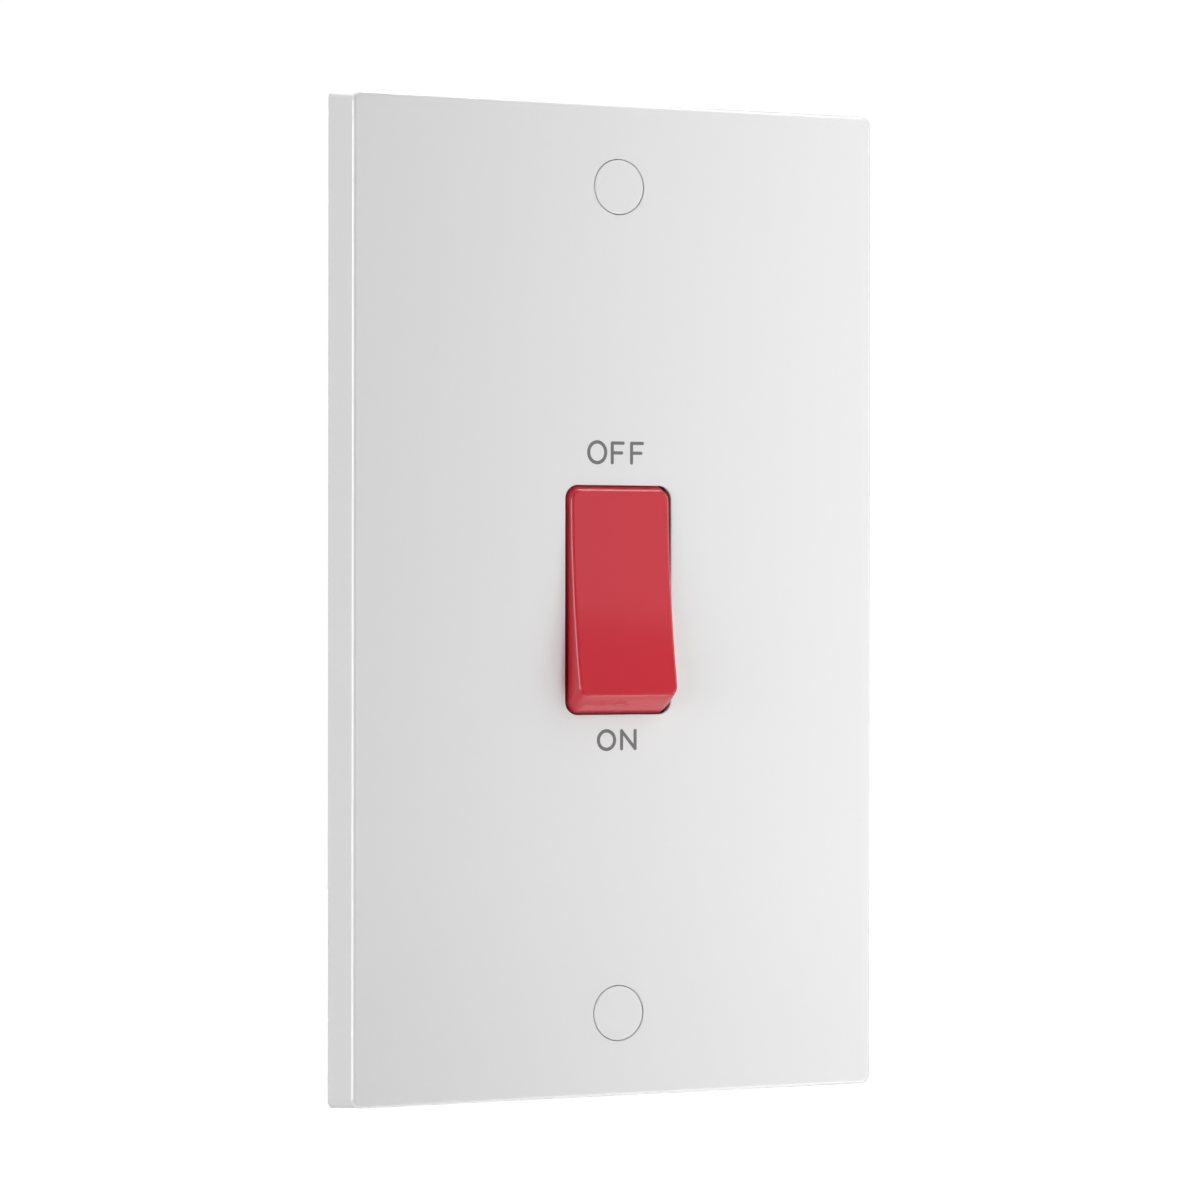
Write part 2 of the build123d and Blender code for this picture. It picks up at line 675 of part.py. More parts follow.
with BuildPart() as earth_screws:
    earth_head_front = earth_back + clamp_backed_off
    with BuildSketch(facing(earth_head_front + clamp_head_height)):
        with Locations(*earth_clamps):
            Circle(earth_screw_head / 2)
    extrude(amount=clamp_head_height)
    with BuildSketch(facing(earth_head_front)):
        with Locations(*earth_clamps):
            Circle(housing_screw_diameter / 2)
    extrude(amount=earth_head_front - earth_tunnel_depth - earth_tunnel / 2 - thread_fit)
    with BuildSketch(facing(earth_head_front + clamp_head_height)):
        with Locations(*earth_clamps):
            Rectangle(earth_screw_head, slot_width)
    extrude(amount=slot_depth, mode=Mode.SUBTRACT)
save(earth_screws, "earth_screws")

with BuildPart() as earth_fixing_screw:
    foot_back = earth_front + earth_foot
    with BuildSketch(facing(foot_back + clamp_head_height)):
        with Locations(earth_fixing):
            Circle(earth_screw_head / 2)
    extrude(amount=clamp_head_height)
    with BuildSketch(facing(foot_back)):
        with Locations(earth_fixing):
            Circle(housing_screw_diameter / 2)
    extrude(amount=earth_foot + earth_screw_bite - screw_end_gap)
    with BuildSketch(facing(foot_back + clamp_head_height)):
        with Locations(earth_fixing):
            Rectangle(earth_screw_head, slot_width)
    extrude(amount=slot_depth, mode=Mode.SUBTRACT)
save(earth_fixing_screw, "earth_fixing_screw")
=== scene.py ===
import json
from math import atan2, cos, pi, radians, sin, tau

import bpy
from mathutils import Matrix, Vector

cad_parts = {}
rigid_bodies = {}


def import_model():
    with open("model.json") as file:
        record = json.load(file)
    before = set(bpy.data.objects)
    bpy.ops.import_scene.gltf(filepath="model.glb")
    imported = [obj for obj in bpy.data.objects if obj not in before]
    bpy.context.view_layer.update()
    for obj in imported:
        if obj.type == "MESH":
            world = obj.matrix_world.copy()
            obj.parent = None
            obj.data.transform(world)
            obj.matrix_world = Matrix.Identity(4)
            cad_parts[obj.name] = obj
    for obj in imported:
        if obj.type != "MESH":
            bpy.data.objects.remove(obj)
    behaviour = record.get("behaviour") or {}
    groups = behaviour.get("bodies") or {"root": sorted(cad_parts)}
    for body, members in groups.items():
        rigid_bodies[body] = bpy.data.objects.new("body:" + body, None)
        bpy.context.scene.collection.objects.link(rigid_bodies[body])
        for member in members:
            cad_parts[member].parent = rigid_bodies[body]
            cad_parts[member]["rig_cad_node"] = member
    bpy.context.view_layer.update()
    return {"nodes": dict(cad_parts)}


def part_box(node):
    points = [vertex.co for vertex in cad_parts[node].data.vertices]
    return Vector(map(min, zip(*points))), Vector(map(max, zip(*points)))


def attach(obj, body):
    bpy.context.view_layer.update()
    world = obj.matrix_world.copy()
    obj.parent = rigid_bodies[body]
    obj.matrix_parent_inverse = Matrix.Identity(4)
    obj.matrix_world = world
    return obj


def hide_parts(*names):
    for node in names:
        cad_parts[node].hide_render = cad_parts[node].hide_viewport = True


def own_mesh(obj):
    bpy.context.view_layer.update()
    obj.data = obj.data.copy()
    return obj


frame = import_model()

# The room: soft rectangular lamps all round the switch, which the camera does not see.
# Those in front light its face evenly, and those at its sides and back draw out the edges.


def lamp(name, place, target, size, watts, in_gloss=True, in_diffuse=True):
    """A soft rectangular lamp at a place, turned to a target. It may leave out gloss or matt light."""
    bpy.ops.object.light_add(type="AREA", location=place)
    made = bpy.context.object
    made.name = name
    made.rotation_euler = (Vector(target) - Vector(place)).to_track_quat("-Z", "Y").to_euler()
    made.data.shape = "RECTANGLE"
    made.data.size, made.data.size_y = size
    made.data.energy = watts
    made.visible_camera = False
    made.visible_glossy = in_gloss
    made.visible_diffuse = in_diffuse


lamp("key_high", (0.128, -0.142, 0.191), (0, 0, 0), (0.13, 0.13), 0.141)
lamp("key_low", (0.128, -0.142, -0.191), (0, 0, 0), (0.13, 0.13), 0.146)
lamp("key_near", (0.056, -0.17, 0), (0, 0, 0), (0.08, 0.42), 0.192, in_gloss=False)
lamp("key_right", (0.195, -0.108, 0), (0, 0, 0), (0.10, 0.22), 0.170)
lamp("front_panel", (0.50, -0.80, 0.045), (0, 0, 0), (0.55, 0.34), 0.34)
lamp("left_lamp", (-0.618, 0.054, 0), (0, 0, 0), (0.72, 0.32), 2.12)
lamp("left_front", (-0.545, -0.225, 0), (0, 0, 0), (0.4, 0.5), 1.00)
lamp("left_rim", (-0.600, 0.130, 0), (0, 0, 0), (0.5, 0.34), 1.7, in_diffuse=False)
lamp("top_lamp", (0, 0.12, 0.7), (0, 0, 0), (0.5, 0.4), 3.3)
lamp("top_rim", (0.10, -0.03, 0.30), (0, 0, 0.03), (0.18, 0.14), 0.50, in_diffuse=False)
lamp("low_lamp", (0, 0.04, -0.44), (0, 0, 0), (0.5, 0.4), 1.1)
lamp("back_high", (0.08, 0.75, 0.34), (0, 0.02, 0), (0.7, 0.75), 3.2)
lamp("back_low", (0.20, 0.70, -0.25), (0, 0.02, 0), (0.7, 0.4), 1.3)
lamp("back_right", (0.62, 0.36, 0.05), (0, 0.02, 0), (0.4, 0.5), 1.2, in_gloss=False)

# The surround is white where it is seen and gives only a little light of its own.
surround_light = 0.08
surround_seen = 1.02
world = bpy.data.worlds.new("surround")
bpy.context.scene.world = world
world.use_nodes = True
tree = world.node_tree
lighting = tree.nodes["Background"]
seen = tree.nodes.new("ShaderNodeBackground")
for background, strength in ((lighting, surround_light), (seen, surround_seen)):
    background.inputs["Color"].default_value = (1, 1, 1, 1)
    background.inputs["Strength"].default_value = strength
ray = tree.nodes.new("ShaderNodeLightPath")
choose = tree.nodes.new("ShaderNodeMixShader")
tree.links.new(ray.outputs["Is Camera Ray"], choose.inputs[0])
tree.links.new(lighting.outputs[0], choose.inputs[1])
tree.links.new(seen.outputs[0], choose.inputs[2])
tree.links.new(choose.outputs[0], tree.nodes["World Output"].inputs["Surface"])
bpy.context.scene.view_settings.view_transform = "Standard"

# The camera stands to the left of the switch at its own height, with a long lens.
# Its yaw, its slight roll and its lens are those of the photograph.
camera_place = (-0.3224, -0.6388, 0)
camera_yaw = radians(26.83)
camera_roll = radians(0.048)
camera_lens = 145.67
bpy.ops.object.camera_add(location=camera_place)
camera = bpy.context.object
upright = Matrix.Rotation(pi / 2, 4, "X") @ Matrix.Rotation(camera_roll, 4, "Z")
camera.rotation_euler = (Matrix.Rotation(-camera_yaw, 4, "Z") @ upright).to_euler()
camera.data.sensor_width = 36
camera.data.lens = camera_lens
camera.data.clip_start = 0.05
bpy.context.scene.camera = camera


# Front plate: one piece of glossy white urea, pressed in a polished tool.
# The surface is nearly mirror flat, with a faint swirl where the resin flowed.
smooth_angle = radians(32)
seam_gap = 0.000002


class Shade:
    """A value in a material. Sums and products of values add its Math nodes."""

    def __init__(self, tree, socket=None):
        self.tree = tree
        self.socket = socket

    def node(self, kind, settings=None, sockets=None, out=0):
        """Add a node, set it up, feed its sockets and return what leaves it."""
        made = self.tree.nodes.new("ShaderNode" + kind)
        for name, value in (settings or {}).items():
            setattr(made, name, value)
        for name, value in (sockets or {}).items():
            if isinstance(value, Shade):
                self.tree.links.new(value.socket, made.inputs[name])
            else:
                made.inputs[name].default_value = value
        return Shade(self.tree, made.outputs[out])

    def into(self, shader, name):
        """Feed this value to one socket of a shader."""
        self.tree.links.new(self.socket, shader.inputs[name])

    def maths(self, operation, one, two):
        return self.node("Math", {"operation": operation}, {0: one, 1: two})

    def __add__(self, other):
        return self.maths("ADD", self, other)

    def __sub__(self, other):
        return self.maths("SUBTRACT", self, other)

    def __rsub__(self, other):
        return self.maths("SUBTRACT", other, self)

    def __mul__(self, other):
        return self.maths("MULTIPLY", self, other)

    __radd__ = __add__
    __rmul__ = __mul__


def material(name, metallic=0.0, specular=0.5):
    """A new material, its main shader, and a blank value to start its maths from."""
    made = bpy.data.materials.new(name)
    made.use_nodes = True
    shader = made.node_tree.nodes["Principled BSDF"]
    shader.inputs["Metallic"].default_value = metallic
    shader.inputs["Specular IOR Level"].default_value = specular
    return made, shader, Shade(made.node_tree)


def noise(start, scale, detail, stretch=(1, 1, 1)):
    """Noise from 0 to 1 on the piece's own coordinates, with scale in cycles for each metre."""
    place = start.node("TexCoord", out="Object")
    place = start.node("Mapping", sockets={"Vector": place, "Scale": stretch})
    return start.node("TexNoise", sockets={"Vector": place, "Scale": scale, "Detail": detail})


def blend_colours(mask, low, high):
    """A colour that goes from low to high with the mask."""
    return mask.node("Mix", {"data_type": "RGBA"}, {0: mask, 6: (*low, 1), 7: (*high, 1)}, out=2)


def relief(height, shader, depth):
    """Raise the surface by up to depth metres where height is 1."""
    bumped = height.node("Bump", sockets={"Height": height, "Distance": depth, "Strength": 1.0})
    bumped.into(shader, "Normal")


def moulded(name, made, body):
    """Stand a copy of a CAD piece in its place, with its rounded faces shaded smooth."""
    bpy.ops.object.select_all(action="DESELECT")
    frame["nodes"][name].select_set(True)
    bpy.context.view_layer.objects.active = frame["nodes"][name]
    bpy.ops.object.duplicate()
    copy = bpy.context.object
    copy.name = f"{name}_finished"
    del copy["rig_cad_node"]
    bpy.ops.object.parent_clear(type="CLEAR_KEEP_TRANSFORM")
    bpy.ops.object.transform_apply(location=True, rotation=True, scale=True)
    bpy.ops.mesh.customdata_custom_splitnormals_clear()
    bpy.ops.object.mode_set(mode="EDIT")
    bpy.ops.mesh.select_all(action="SELECT")
    bpy.ops.mesh.remove_doubles(threshold=seam_gap)
    bpy.ops.object.mode_set(mode="OBJECT")
    bpy.ops.object.shade_smooth_by_angle(angle=smooth_angle)
    flatten = copy.modifiers.new("flat_faces", "WEIGHTED_NORMAL")
    flatten.keep_sharp = True
    flatten.weight = 50
    bpy.ops.object.modifier_apply(modifier=flatten.name)
    copy.data.materials.clear()
    copy.data.materials.append(made)
    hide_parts(name)
    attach(copy, body)
    return copy


urea, shader, start = material("white_urea", specular=0.65)
flow = noise(start, 22, 3)
blend_colours(flow, (0.806, 0.806, 0.806), (0.824, 0.824, 0.824)).into(shader, "Base Color")
(noise(start, 60, 4) * 0.04 + 0.11).into(shader, "Roughness")
relief(noise(start, 2500, 2), shader, 0.0000004)
plate = moulded("front_plate", urea, "switch_plate")

# The plate's sides lean in towards the front, where a small round runs along all four edges.
# The four corners of its outline have a larger round.
edge_radius = 0.0006
corner_radius = 0.00145
edge_lean = 0.00062 / 0.0075
plate_low, plate_high = (Vector(corner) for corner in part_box("front_plate"))
front_inset = edge_lean * (plate_high.y - plate_low.y) + corner_radius
corner_x, corner_z = plate_high.x - front_inset, plate_high.z - front_inset
edge_reach = edge_radius * (1 - sin(atan2(edge_lean, 1)))
hair = 0.00001


def rounded_normal(place):
    """The true normal at a place on the plate's rounded front edge, or None away from the edge."""
    depth = place.y - plate_low.y
    off_x, off_z = abs(place.x) - corner_x, abs(place.z) - corner_z
    on_flat_front = depth < hair / 10 and max(off_x, off_z) < corner_radius - edge_radius
    if depth > edge_reach + hair or on_flat_front:
        return None
    sideways = Vector((0, 0, 0))
    if off_x > 0:
        sideways.x = off_x if place.x > 0 else -off_x
    if off_z > 0:
        sideways.z = off_z if place.z > 0 else -off_z
    turned = min(1.0, max(0.0, (edge_radius - depth) / edge_radius))
    return (sideways.normalized() * (1 - turned**2) ** 0.5 + Vector((0, -turned, 0))).normalized()


normals = [corner.vector.copy() for corner in plate.data.corner_normals]
for loop in plate.data.loops:
    true = rounded_normal(plate.data.vertices[loop.vertex_index].co)
    if true:
        normals[loop.index] = true
plate.data.normals_split_custom_set(normals)

# Caps: two round buttons of the same urea that hide the fixing screws.
# They are pressed into recesses in the plate and lie flush with its face.
moulded("screw_cap_top", urea, "switch_plate")
moulded("screw_cap_bottom", urea, "switch_plate")

# Fixing screws: two M3.5 steel screws with slotted heads, under the caps.
# Their threads are rolled, and the zinc plate on them is faintly blue and yellow in patches.
# The screw is modelled once in millimetres, along Z, with its head at 0.
zinc, shader, start = material("zinc_plate", metallic=1.0)
blend_colours(noise(start, 350, 3), (0.54, 0.55, 0.56), (0.64, 0.63, 0.59)).into(shader, "Base Color")
(noise(start, 1500, 3) * 0.15 + 0.30).into(shader, "Roughness")
relief(noise(start, 3000, 2), shader, 0.000008)
head_radius, neck_radius, core_radius, crest_radius = 3.5, 1.55, 1.43, 1.75
head_back, neck_end = 2.1, 5.1
head_round = 0.5
thread_pitch = 0.6
thread_length = 22
thread_overlap = 0.02
tip_radius, tip_length = 1.15, 0.6
slot_width, slot_depth, slot_length = 0.9, 1.0, 2.4 * head_radius
head_steps, thread_steps = 48, 24
weld_reach = 0.0005
screw_smooth_angle = radians(28)
millimetre = 0.001


def draw_line(name, points):
    """A line through points of X and Z, drawn from one point by extrusion, in millimetres."""
    bpy.ops.object.select_all(action="DESELECT")
    bpy.ops.mesh.primitive_plane_add(size=1)
    made = bpy.context.object
    made.name = name
    bpy.ops.object.mode_set(mode="EDIT")
    bpy.ops.mesh.select_mode(type="VERT")
    bpy.ops.mesh.select_all(action="SELECT")
    bpy.ops.mesh.merge(type="CENTER")
    bpy.ops.transform.translate(value=(points[0][0], 0, points[0][1]))
    for (from_x, from_z), (to_x, to_z) in zip(points, points[1:]):
        bpy.ops.mesh.extrude_vertices_move(
            TRANSFORM_OT_translate={"value": (to_x - from_x, 0, to_z - from_z)}
        )
    bpy.ops.object.mode_set(mode="OBJECT")
    return made


def close_up():
    """Merge the seams of the shape in edit mode, turn its faces outwards and leave edit mode."""
    bpy.ops.mesh.select_all(action="SELECT")
    bpy.ops.mesh.remove_doubles(threshold=weld_reach)
    bpy.ops.mesh.fill_holes(sides=0)
    bpy.ops.mesh.select_all(action="SELECT")
    bpy.ops.mesh.normals_make_consistent(inside=False)
    bpy.ops.object.mode_set(mode="OBJECT")


def turned(name, points):
    """A solid of revolution about Z, from a line that starts and ends on the axis."""
    made = draw_line(name, points)
    bpy.ops.object.mode_set(mode="EDIT")
    bpy.ops.mesh.select_all(action="SELECT")
    bpy.ops.mesh.spin(steps=head_steps, angle=tau, center=(0, 0, 0), axis=(0, 0, 1))
    close_up()
    return made


def combine(piece, other, operation):
    """Join, cut or keep the shared part of two solids, and use up the second."""
    bpy.ops.object.select_all(action="DESELECT")
    piece.select_set(True)
    bpy.context.view_layer.objects.active = piece
    change = piece.modifiers.new("combine", "BOOLEAN")
    change.operation = operation
    change.object = other
    bpy.ops.object.modifier_apply(modifier=change.name)
    bpy.data.objects.remove(other)
    return piece


def rolled_thread():
    """A solid helical thread along Z, from one turn before 0 to one turn past its length."""
    flat = thread_pitch / 8
    crest = (thread_pitch - flat) / 2
    first = -thread_pitch
    flank = [(core_radius, first), (crest_radius, first + crest), (crest_radius, first + crest + flat)]
    made = draw_line("thread", [*flank, (core_radius, first + thread_pitch)])
    sweep = made.modifiers.new("helix", "SCREW")
    sweep.axis = "Z"
    sweep.iterations = round(thread_length / thread_pitch) + 2
    sweep.screw_offset = thread_pitch
    sweep.steps = sweep.render_steps = thread_steps
    bpy.ops.object.modifier_apply(modifier=sweep.name)
    bpy.ops.object.mode_set(mode="EDIT")
    close_up()
    return made


head_line = [(0, 0), (head_radius - head_round, 0)]
for step in range(1, 5):
    angle = radians(22.5 * step)
    head_line.append((head_radius - head_round * (1 - sin(angle)), head_round * (1 - cos(angle))))
head_line += [(head_radius, head_back), (neck_radius, head_back), (neck_radius, neck_end), (0, neck_end)]
fixing_screw = turned("fixing_screw", head_line)
shoulder = thread_length - tip_length
room_radius = crest_radius + 0.25
room = [(0, 0), (room_radius, 0), (room_radius, shoulder), (tip_radius, thread_length), (0, thread_length)]
thread = combine(rolled_thread(), turned("thread_room", room), "INTERSECT")
thread.data.transform(Matrix.Translation((0, 0, neck_end - thread_overlap)))
combine(fixing_screw, thread, "UNION")
bpy.ops.object.select_all(action="DESELECT")
bpy.ops.mesh.primitive_cube_add(size=1)
slot_cutter = bpy.context.object
bpy.ops.object.mode_set(mode="EDIT")
bpy.ops.transform.resize(value=(slot_length, slot_width, 2 * slot_depth))
bpy.ops.object.mode_set(mode="OBJECT")
combine(fixing_screw, slot_cutter, "DIFFERENCE")
fixing_screw.data.materials.clear()
fixing_screw.data.materials.append(zinc)
bpy.ops.object.select_all(action="DESELECT")
fixing_screw.select_set(True)
bpy.context.view_layer.objects.active = fixing_screw
bpy.ops.object.shade_smooth_by_angle(angle=screw_smooth_angle)
for end in ("top", "bottom"):
    node = f"fixing_screw_{end}"
    low, high = (Vector(corner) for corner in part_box(node))
    bpy.ops.object.select_all(action="DESELECT")
    fixing_screw.select_set(True)
    bpy.context.view_layer.objects.active = fixing_screw
    bpy.ops.object.duplicate()
    screw = bpy.context.object
    screw.name = f"{node}_threaded"
    head_at = Matrix.Translation(((low.x + high.x) / 2, low.y, (low.z + high.z) / 2))
    screw.matrix_world = head_at @ Matrix.Rotation(-pi / 2, 4, "X") @ Matrix.Scale(millimetre, 4)
    bpy.ops.object.transform_apply(location=True, rotation=True, scale=True)
    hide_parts(node)
    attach(screw, "switch_plate")
bpy.data.objects.remove(fixing_screw)

# Other screws: shorter ones of the same plated steel. Four with crossed slots hold the housing.
# Ten with plain slots clamp the cables, and one more holds the earth terminal.
moulded("housing_screws", zinc, "switch_plate")
moulded("earth_screws", zinc, "switch_plate")
moulded("earth_fixing_screw", zinc, "switch_plate")
for role in ("supply", "load"):
    for side in ("left", "right"):
        moulded(f"{role}_screws_{side}", zinc, "switch_plate")

# The words OFF and ON: grey ink printed on the plate above and below the rocker.
# Each letter is a thin film built from strokes with round ends, in millimetres.
ink, shader, start = material("grey_ink")
blend_colours(noise(start, 2500, 2), (0.170, 0.170, 0.170), (0.195, 0.195, 0.195)).into(shader, "Base Color")
(noise(start, 900, 2) * 0.1 + 0.38).into(shader, "Roughness")
film = 0.02
stroke_width = 0.50
joint_inset = 0.001


def choose_points(piece, test):
    """In edit mode, select the piece's points for which the test of their place holds."""
    bpy.ops.object.mode_set(mode="OBJECT")
    for face in piece.data.polygons:
        face.select = False
    for edge in piece.data.edges:
        edge.select = False
    for point in piece.data.vertices:
        point.select = test(point.co)
    bpy.ops.object.mode_set(mode="EDIT")


def raise_film(thickness):
    """Give the flat shape in edit mode its thickness, towards the room, and leave edit mode."""
    bpy.ops.mesh.select_all(action="SELECT")
    bpy.ops.mesh.extrude_region_move(TRANSFORM_OT_translate={"value": (0, 0, thickness)})
    bpy.ops.mesh.select_all(action="SELECT")
    bpy.ops.mesh.normals_make_consistent(inside=False)
    bpy.ops.object.mode_set(mode="OBJECT")


def bar_stroke(start_at, end_at, inset=0.0):
    """A straight stroke with round ends. An inset keeps its flat sides just inside a stroke it joins."""
    run = Vector(end_at) - Vector(start_at)
    bpy.ops.object.select_all(action="DESELECT")
    bpy.ops.mesh.primitive_circle_add(vertices=32, radius=stroke_width / 2 - 10 * inset, fill_type="NGON")
    made = bpy.context.object
    bpy.ops.object.mode_set(mode="EDIT")
    bpy.ops.mesh.select_mode(type="VERT")
    choose_points(made, lambda place: place.x > -hair)
    bpy.ops.transform.translate(value=(run.length, 0, 0))
    raise_film(film - 2 * inset)
    made.matrix_world = Matrix.Translation((*start_at, inset)) @ Matrix.Rotation(atan2(run.y, run.x), 4, "Z")
    return made


def ring_stroke(width, height):
    """A closed oval stroke."""
    bpy.ops.object.select_all(action="DESELECT")
    bpy.ops.mesh.primitive_circle_add(vertices=72, radius=1, fill_type="NOTHING")
    made = bpy.context.object
    bpy.ops.object.mode_set(mode="EDIT")
    bpy.ops.transform.resize(value=(width / 2, height / 2, 1))
    bpy.ops.mesh.extrude_edges_move()
    inner = ((width / 2 - stroke_width) / (width / 2), (height / 2 - stroke_width) / (height / 2), 1)
    bpy.ops.transform.resize(value=inner)
    raise_film(film)
    return made


def print_letter(name, strokes, x, z):
    """Join the strokes into one film and lay it on the plate at X and Z in millimetres."""
    letter = strokes[0]
    for other in strokes[1:]:
        combine(letter, other, "UNION")
    letter.name = name
    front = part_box("front_plate")[0][1]
    on_plate = Matrix.Translation((x * millimetre, front, z * millimetre))
    onto_plate = on_plate @ Matrix.Rotation(pi / 2, 4, "X") @ Matrix.Scale(millimetre, 4)
    letter.matrix_world = onto_plate @ letter.matrix_world
    bpy.ops.object.select_all(action="DESELECT")
    letter.select_set(True)
    bpy.context.view_layer.objects.active = letter
    bpy.ops.object.transform_apply(location=True, rotation=True, scale=True)
    letter.data.materials.append(ink)
    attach(letter, "switch_plate")


half = stroke_width / 2
f_width, f_height = 2.30, 3.37
f_low, f_high = half - f_height / 2, f_height / 2 - half
print_letter("print_off_o", [ring_stroke(3.28, 3.52)], -3.57, 21.52)
for number, x in ((1, -1.36), (2, 1.80)):
    strokes = [
        bar_stroke((half, f_low), (half, f_high)),
        bar_stroke((half, f_high), (f_width - half, f_high), joint_inset),
        bar_stroke((half, 0.0), (f_width - 0.25 - half, 0.0), joint_inset),
    ]
    print_letter(f"print_off_f{number}", strokes, x, 21.47)
n_width, n_height = 2.72, 3.12
n_low, n_high = half - n_height / 2, n_height / 2 - half
print_letter("print_on_o", [ring_stroke(3.14, 3.20)], -2.01, -20.43)
strokes = [
    bar_stroke((half, n_low), (half, n_high)),
    bar_stroke((half, n_high), (n_width - half, n_low), joint_inset),
    bar_stroke((n_width - half, n_low), (n_width - half, n_high)),
]
print_letter("print_on_n", strokes, 0.20, -20.40)

# Rocker: glossy red plastic, moulded in one piece with its trunnions and guide tubes.
# The colour runs through it, and the polished face shows soft, wide reflections.
red, shader, start = material("red_plastic")
blend_colours(noise(start, 90, 3), (0.606, 0.031, 0.048), (0.618, 0.033, 0.051)).into(shader, "Base Color")
(noise(start, 240, 3) * 0.03 + 0.10).into(shader, "Roughness")
relief(noise(start, 5000, 2), shader, 0.0000006)
moulded("rocker", red, "rocker")

# Plungers: turned from natural nylon, which is dull and slightly creamy.
# Each slides in a guide tube of the rocker and presses on its see-saw contact.
nylon, shader, start = material("natural_nylon")
blend_colours(noise(start, 300, 3), (0.74, 0.72, 0.63), (0.80, 0.78, 0.70)).into(shader, "Base Color")
(noise(start, 800, 2) * 0.15 + 0.38).into(shader, "Roughness")
relief(noise(start, 1500, 2), shader, 0.00001)


def dress(made, *names):
    """Give CAD pieces a material."""
    for name in names:
        for slot in frame["nodes"][name].material_slots:
            slot.material = made


dress(nylon, "plunger_left", "plunger_right")

# Plunger springs: coils of drawn steel wire between the plungers and the guide tubes' floors.
# They lean with the rocker.
wire_steel, shader, start = material("spring_wire", metallic=1.0)
blend_colours(noise(start, 500, 2), (0.42, 0.42, 0.41), (0.52, 0.52, 0.51)).into(shader, "Base Color")
(noise(start, 1200, 2) * 0.15 + 0.25).into(shader, "Roughness")
wire_radius = 0.00024
coil_radius = 0.0018 - wire_radius
wire_sides, coil_steps = 10, 28
coil_turns = 7
rocker_tilt = radians(6)
rocker_out = Vector((0, -cos(rocker_tilt), sin(rocker_tilt)))
plunger_x, pivot_y = 0.0044, 0.0005
spring_foot, spring_length = 0.0005, 0.0059
for side, x in (("left", -plunger_x), ("right", plunger_x)):
    bpy.ops.object.select_all(action="DESELECT")
    bpy.ops.mesh.primitive_circle_add(
        vertices=wire_sides, radius=wire_radius, location=(coil_radius, 0, 0), rotation=(pi / 2, 0, 0)
    )
    coil = bpy.context.object
    coil.name = f"coil_spring_{side}"
    bpy.ops.object.transform_apply(location=True, rotation=True)
    sweep = coil.modifiers.new("coil", "SCREW")
    sweep.axis = "Z"
    sweep.iterations = coil_turns
    sweep.screw_offset = (spring_length - 2 * wire_radius) / coil_turns
    sweep.steps = sweep.render_steps = coil_steps
    bpy.ops.object.modifier_apply(modifier=sweep.name)
    bpy.ops.object.mode_set(mode="EDIT")
    bpy.ops.mesh.select_all(action="SELECT")
    bpy.ops.mesh.fill_holes(sides=wire_sides)
    bpy.ops.mesh.select_all(action="SELECT")
    bpy.ops.mesh.normals_make_consistent(inside=False)
    bpy.ops.object.mode_set(mode="OBJECT")
    bpy.ops.object.shade_smooth()
    pivot = Vector((x, pivot_y, 0))
    along = rocker_out.to_track_quat("Z", "Y").to_matrix().to_4x4()
    coil.matrix_world = Matrix.Translation(pivot + rocker_out * (spring_foot + wire_radius)) @ along
    bpy.ops.object.transform_apply(location=True, rotation=True)
    coil.data.materials.append(wire_steel)
    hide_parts(f"plunger_spring_{side}")
    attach(coil, "rocker")
    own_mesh(coil)

# Cover: a white moulding behind the plate that carries the rocker in a deep well.
# It closes the front of the housing and is screwed to the plate together with it.
cover_white, shader, start = material("cover_plastic")
blend_colours(noise(start, 70, 3), (0.72, 0.72, 0.70), (0.76, 0.76, 0.74)).into(shader, "Base Color")
(noise(start, 300, 3) * 0.12 + 0.36).into(shader, "Roughness")
relief(noise(start, 1800, 2), shader, 0.000012)
moulded("mechanism_cover", cover_white, "switch_plate")

# Housing: a thermoset moulding with a fine grain from its spark eroded tool.
# It holds the contacts and the cable terminals, apart from each other.
grain, shader, start = material("housing_plastic")
blend_colours(noise(start, 50, 4), (0.60, 0.60, 0.58), (0.66, 0.66, 0.63)).into(shader, "Base Color")
(noise(start, 500, 3) * 0.2 + 0.45).into(shader, "Roughness")
relief(noise(start, 2600, 3), shader, 0.00003)
moulded("mechanism_housing", grain, "switch_plate")

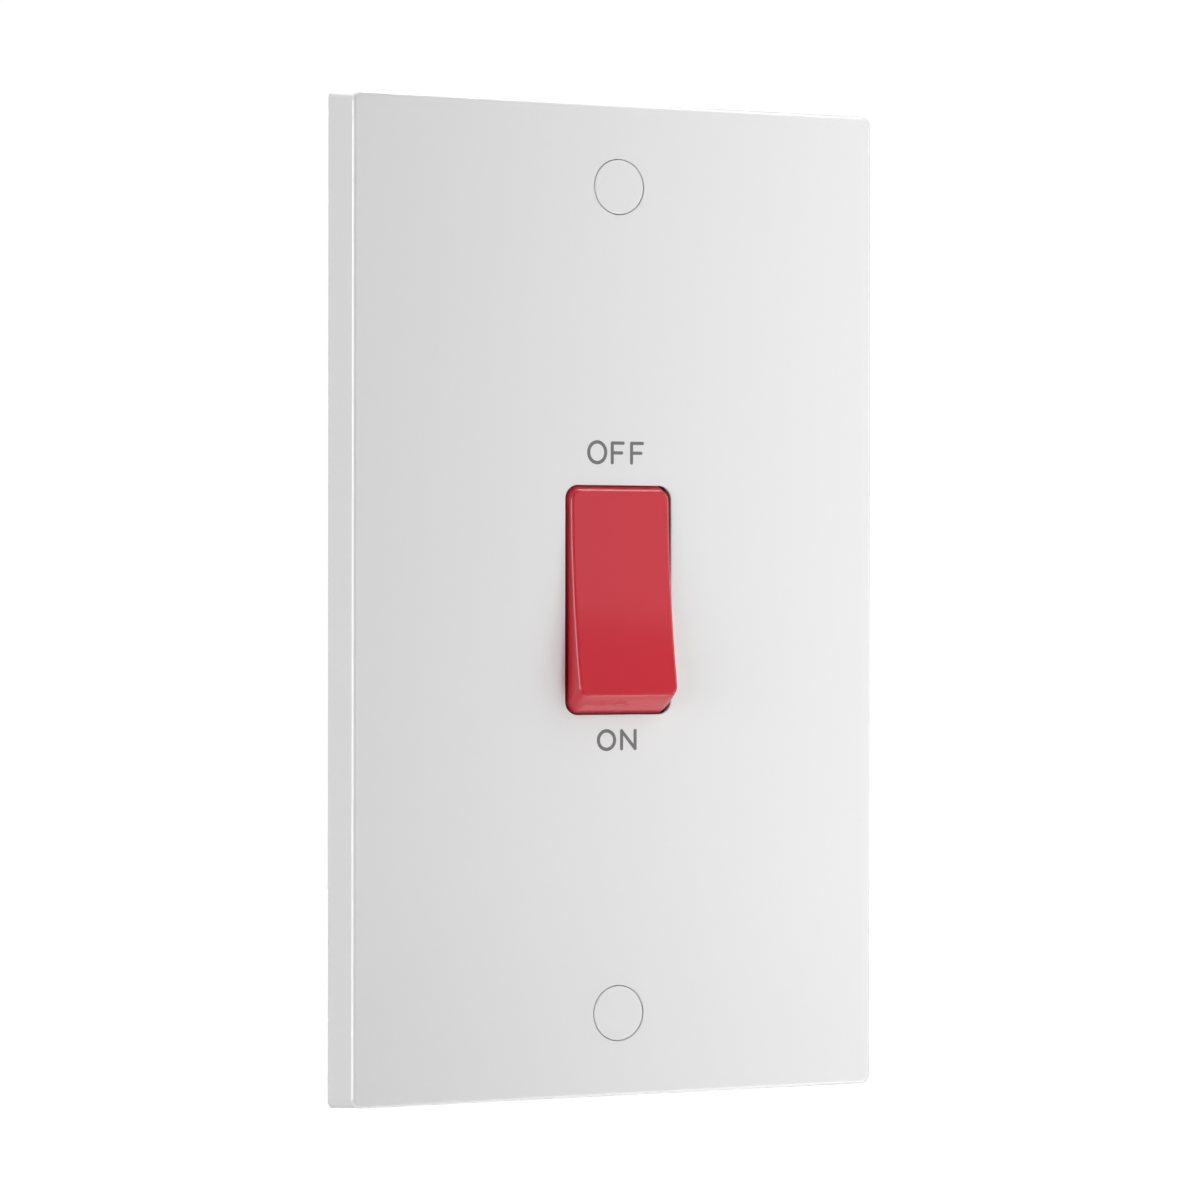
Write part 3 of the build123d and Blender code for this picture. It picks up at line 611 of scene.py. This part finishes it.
# Terminals: blocks and strips of machined brass, with faint lines left by the cutter.
# Four sit in the housing, and one for the earth cores is screwed to the plate.
brass, shader, start = material("machined_brass", metallic=1.0)
cut_lines = noise(start, 500, 2, stretch=(1, 1, 14))
blend_colours(cut_lines, (0.72, 0.51, 0.22), (0.80, 0.60, 0.29)).into(shader, "Base Color")
(cut_lines * 0.12 + 0.34).into(shader, "Roughness")
relief(cut_lines, shader, 0.000003)
dress(brass, "earth_terminal")
for side in ("left", "right"):
    dress(brass, f"supply_terminal_{side}", f"load_terminal_{side}")

# See-saw contacts: bars of pressed copper with silver alloy tips.
# Each rocks on its supply terminal, and its tip meets another one on the load terminal.
copper, shader, start = material("pressed_copper", metallic=1.0)
tarnish = noise(start, 260, 4)
blend_colours(tarnish, (0.72, 0.36, 0.24), (0.86, 0.50, 0.36)).into(shader, "Base Color")
(tarnish * 0.25 + 0.22).into(shader, "Roughness")
silver, shader, start = material("silver_tip", metallic=1.0)
haze = noise(start, 1200, 3)
blend_colours(haze, (0.74, 0.73, 0.70), (0.88, 0.87, 0.84)).into(shader, "Base Color")
(haze * 0.2 + 0.28).into(shader, "Roughness")
for side in ("left", "right"):
    dress(copper, f"moving_contact_{side}")
    dress(silver, f"moving_tip_{side}", f"fixed_tip_{side}")

# Floor: a round of matt card well below the switch, which hangs at the height of its wall box.
# Its paleness is a painted glow: the card gives off light of its own, faint near the switch, growing from
# half a metre out until, two metres on, it is as white as the surround.
floor_drop = 0.46
floor_radius = 7
bpy.ops.object.select_all(action="DESELECT")
bpy.ops.mesh.primitive_circle_add(
    vertices=96, radius=floor_radius, fill_type="NGON", location=(0, 0, -floor_drop)
)
floor = bpy.context.object
floor.name = "floor"
bpy.ops.object.transform_apply(location=True)
floor.visible_diffuse = False
floor.visible_glossy = False
card, shader, start = material("card_with_painted_glow", specular=0.1)
shader.inputs["Roughness"].default_value = 0.9
blend_colours(noise(start, 40, 4), (0.80, 0.80, 0.80), (0.83, 0.83, 0.83)).into(shader, "Base Color")
# Painted glow: the card's emission colour grows with distance from the switch, up to the surround's white.
fade_start, fade_length = 0.5, 2.0
place = start.node("TexCoord", out="Object")
away = place.node("VectorMath", {"operation": "LENGTH"}, {0: place}, out="Value")
painted_glow_fade = away * (1 / fade_length) - fade_start / fade_length
blend_colours(painted_glow_fade, (0.74, 0.74, 0.74), (1, 1, 1)).into(shader, "Emission Color")
shader.inputs["Emission Strength"].default_value = surround_seen
floor.data.materials.append(card)
